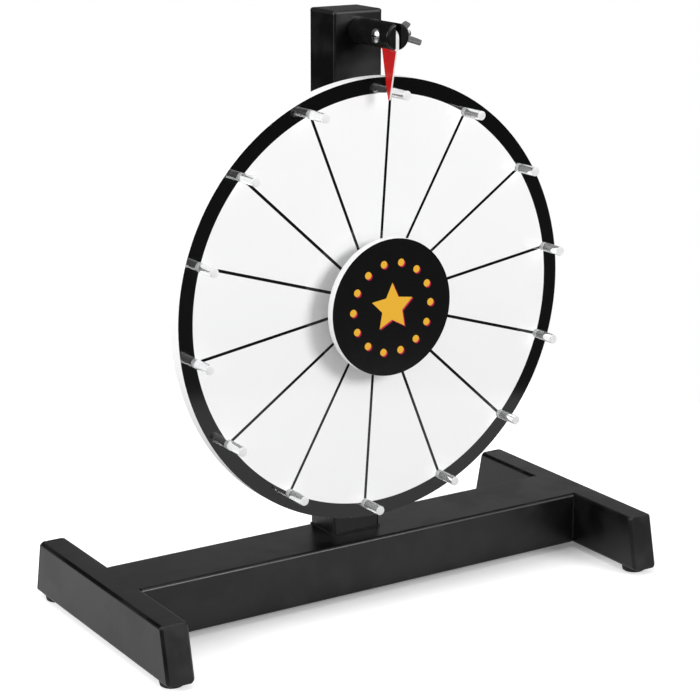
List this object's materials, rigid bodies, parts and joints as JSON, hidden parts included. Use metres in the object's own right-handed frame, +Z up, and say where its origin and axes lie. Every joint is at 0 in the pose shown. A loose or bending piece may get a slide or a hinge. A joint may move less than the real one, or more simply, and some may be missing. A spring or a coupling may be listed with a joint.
{
  "type": "carnival game wheel",
  "caption": "Tabletop prize wheel: a white disc with a black rim and clear pegs spins on a black square-tube stand, past a red leaf pointer clamped in a slotted arm.",
  "frame": {"origin": "On the table, under the middle of the base.", "axes": "+Z up, -Y the way the wheel faces, +X to the right as seen from the front."},
  "size_m": [0.4, 0.199, 0.4089],
  "materials": {
    "powder_coat": "satin black powder coat",
    "cap_plastic": "satin moulded black",
    "foot_rubber": "matt black rubber",
    "zinc_steel": "zinc plated",
    "bright_screw": "nickel plated",
    "bearing_steel": "ground",
    "hub_casting": "turned casting",
    "sticky_foam": "foam tape",
    "hub_print": "printed black, white edge",
    "white_board": "white foam board",
    "face_print": "glossy white, black print",
    "clear_acrylic": "clear, polished",
    "red_leaf": "glossy red, pale cut edges"
  },
  "bodies": {
    "stand": {"left_leg": "powder_coat", "right_leg": "powder_coat", "left_leg_end_plates": "powder_coat", "right_leg_end_plates": "powder_coat", "crossbar": "powder_coat", "post": "powder_coat", "post_cap": "cap_plastic", "front_left_foot": "foot_rubber", "front_right_foot": "foot_rubber", "back_left_foot": "foot_rubber", "back_right_foot": "foot_rubber", "foot_screws": "zinc_steel", "axle_bolt": "zinc_steel", "axle_head_washer": "zinc_steel", "axle_post_washer": "zinc_steel", "axle_jam_nut": "zinc_steel", "rear_shim_washer": "zinc_steel", "front_shim_washer": "zinc_steel", "axle_lock_nut": "zinc_steel", "bearing_spacer": "zinc_steel", "front_bearing_inner_ring": "bearing_steel", "rear_bearing_inner_ring": "bearing_steel", "pointer_arm": "powder_coat", "arm_bolt": "zinc_steel", "arm_bolt_washer": "zinc_steel", "clamp_screw": "bright_screw"},
    "wheel": {"front_bearing_outer_ring": "bearing_steel", "rear_bearing_outer_ring": "bearing_steel", "front_bearing_balls": "bearing_steel", "rear_bearing_balls": "bearing_steel", "rear_hub": "hub_casting", "front_flange": "hub_casting", "hub_screws": "zinc_steel", "hub_nuts": "zinc_steel", "hub_disc_pad": "sticky_foam", "hub_disc": "hub_print", "wheel_board": "white_board", "face_sheet": "face_print", "peg_01": "clear_acrylic", "peg_02": "clear_acrylic", "peg_03": "clear_acrylic", "peg_04": "clear_acrylic", "peg_05": "clear_acrylic", "peg_06": "clear_acrylic", "peg_07": "clear_acrylic", "peg_08": "clear_acrylic", "peg_09": "clear_acrylic", "peg_10": "clear_acrylic", "peg_11": "clear_acrylic", "peg_12": "clear_acrylic", "peg_13": "clear_acrylic", "peg_14": "clear_acrylic"},
    "pointer_head": {"pointer_head": "red_leaf"},
    "pointer_blade": {"pointer_blade": "red_leaf"},
    "clamp_washer": {"clamp_washer": "zinc_steel"},
    "wing_nut": {"wing_nut": "zinc_steel"}
  },
  "joints": [
    {"name": "wheel_spin", "type": "hinge", "parent": "stand", "child": "wheel", "pos_m": [0, -0.0322, 0.2145], "axis": [0, 1, 0], "continuous": true},
    {"name": "pointer_tilt", "type": "hinge", "parent": "stand", "child": "pointer_head", "pos_m": [0, -0.042, 0.3956], "axis": [-1, 0, 0], "range_deg": [-10, 90]},
    {"name": "pointer_flex", "type": "hinge", "parent": "pointer_head", "child": "pointer_blade", "pos_m": [-0.00025, -0.042, 0.38525], "axis": [0, 1, 0], "range_deg": [-30, 30], "stiffness_Nm_per_rad": 0.03, "deforming": ["pointer_blade"]},
    {"name": "wing_nut_travel", "type": "slide", "parent": "stand", "child": "clamp_washer", "axis": [1, 0, 0], "range_m": [0, 0.0016]},
    {"name": "wing_nut_turn", "type": "hinge", "parent": "clamp_washer", "child": "wing_nut", "pos_m": [0.00885, -0.042, 0.3956], "axis": [1, 0, 0], "range_deg": [0, 720]}
  ],
  "couplings": [
    {"joint": "wing_nut_turn", "follows": "wing_nut_travel", "rad_per_m": 7853.9}
  ]
}
